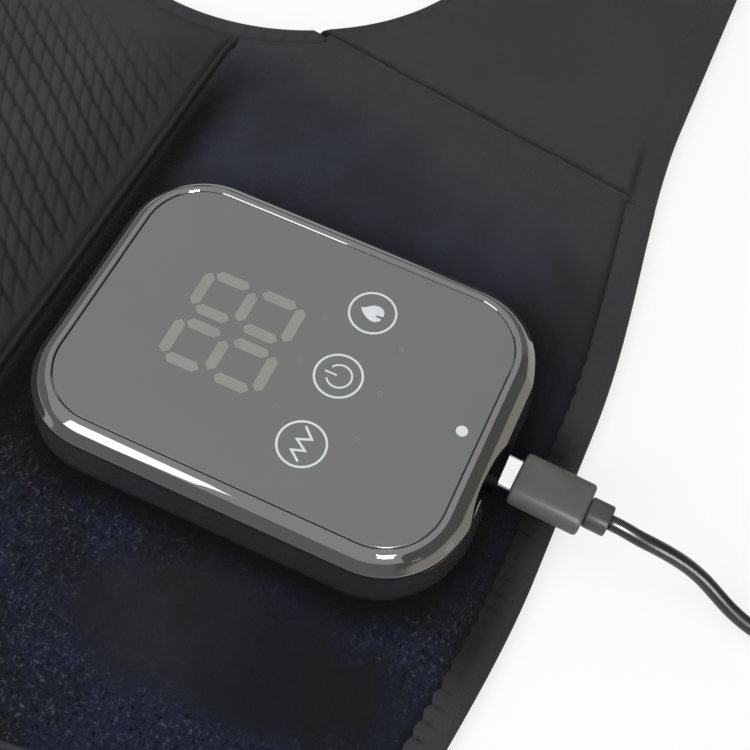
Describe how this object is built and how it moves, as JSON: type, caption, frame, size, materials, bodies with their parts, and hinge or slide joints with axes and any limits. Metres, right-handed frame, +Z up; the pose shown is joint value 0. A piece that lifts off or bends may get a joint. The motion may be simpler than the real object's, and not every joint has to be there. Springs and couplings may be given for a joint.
{
  "type": "heated knee massager",
  "caption": "Padded knee wrap with fold-out straps, a flat touch controller with a digit display over heating films and vibration motors, and a plug-in charging lead.",
  "frame": {"origin": "on the resting surface, under the middle of the wrap with its straps laid out flat", "axes": "+X along the straps, -Y is the way the controller's port looks, +Z up out of the wrap, with the controller on top"},
  "size_m": [0.71, 0.4168, 0.0273],
  "materials": {
    "window": "smoked grey window, gloss",
    "case": "piano black",
    "loop_fabric": "napped loop pile, dark navy",
    "pad_fabric": "embossed scale weave, dark grey",
    "strap_fabric": "smooth stretch knit, dark grey",
    "lining_fabric": "soft lining, dark grey",
    "hook_fabric": "fine hook tape, black",
    "foam": "open-cell foam",
    "board": "green laminate",
    "black_plastic": "moulded, satin",
    "grey_plastic": "moulded, satin",
    "digit": "pale display block",
    "light": "clear white",
    "steel": "bright",
    "brass": "sintered",
    "battery": "foil wrap",
    "film": "heating film",
    "wire": "insulated wire",
    "cord": "smooth sheath, gloss"
  },
  "bodies": {
    "root": {"display_panel": "window", "upper_housing": "case", "lower_housing": "case", "main_circuit_board": "board", "digit_display": "digit", "flame_touch_spring": "steel", "power_touch_spring": "steel", "vibration_touch_spring": "steel", "charge_light": "light", "battery_cell": "battery", "usb_socket": "steel", "beeper": "black_plastic", "base_plate": "black_plastic", "case_screw_1": "steel", "case_screw_2": "steel", "case_screw_3": "steel", "case_screw_4": "steel", "inner_lining": "lining_fabric", "foam_core": "foam", "loop_panel": "loop_fabric", "knee_pad_cover": "pad_fabric", "hem_border": "strap_fabric", "heating_film_left": "film", "heating_film_right": "film", "heating_film_knee": "film", "thermal_cutout": "black_plastic", "motor_tray_left": "black_plastic", "motor_lid_left": "black_plastic", "motor_can_left": "steel", "motor_tray_right": "black_plastic", "motor_lid_right": "black_plastic", "motor_can_right": "steel", "wire_left_motor": "wire", "wire_right_motor": "wire", "wire_heater": "wire"},
    "lead": {"usb_c_shell": "steel", "plug_overmould": "grey_plastic", "strain_relief": "grey_plastic", "cord_run": "cord", "cord_coil": "cord", "coil_tie": "black_plastic", "usb_a_overmould": "grey_plastic", "usb_a_shell": "steel"},
    "left_weight": {"motor_shaft_left": "steel", "eccentric_weight_left": "brass"},
    "right_weight": {"motor_shaft_right": "steel", "eccentric_weight_right": "brass"},
    "strap_lr": {"strap_lower_right": "strap_fabric"},
    "strap_ur": {"strap_upper_right": "strap_fabric"},
    "strap_ll": {"strap_lower_left": "strap_fabric", "hook_tab_lower_left": "hook_fabric"},
    "strap_ul": {"strap_upper_left": "strap_fabric", "hook_tab_upper_left": "hook_fabric"}
  },
  "joints": [
    {"name": "plug_slide", "type": "slide", "parent": "root", "child": "lead", "axis": [-0.0488, -0.9988, 0], "range_m": [-0.0022, 0.03]},
    {"name": "weight_spin_left", "type": "hinge", "parent": "root", "child": "left_weight", "pos_m": [-0.052, 0.052, 0.0074], "axis": [1, 0, 0], "continuous": true},
    {"name": "weight_spin_right", "type": "hinge", "parent": "root", "child": "right_weight", "pos_m": [0.052, 0.052, 0.0074], "axis": [1, 0, 0], "continuous": true},
    {"name": "strap_fold_lower_right", "type": "hinge", "parent": "root", "child": "strap_lr", "pos_m": [0.09967, -0.0875, 0.0023], "axis": [-0.155, -0.9879, 0], "range_deg": [0, 80]},
    {"name": "strap_fold_upper_right", "type": "hinge", "parent": "root", "child": "strap_ur", "pos_m": [0.09967, 0.0875, 0.0023], "axis": [0.155, -0.9879, 0], "range_deg": [0, 80]},
    {"name": "strap_fold_lower_left", "type": "hinge", "parent": "root", "child": "strap_ll", "pos_m": [-0.09967, -0.0875, 0.0023], "axis": [-0.155, 0.9879, 0], "range_deg": [0, 80]},
    {"name": "strap_fold_upper_left", "type": "hinge", "parent": "root", "child": "strap_ul", "pos_m": [-0.09967, 0.0875, 0.0023], "axis": [0.155, 0.9879, 0], "range_deg": [0, 80]}
  ]
}
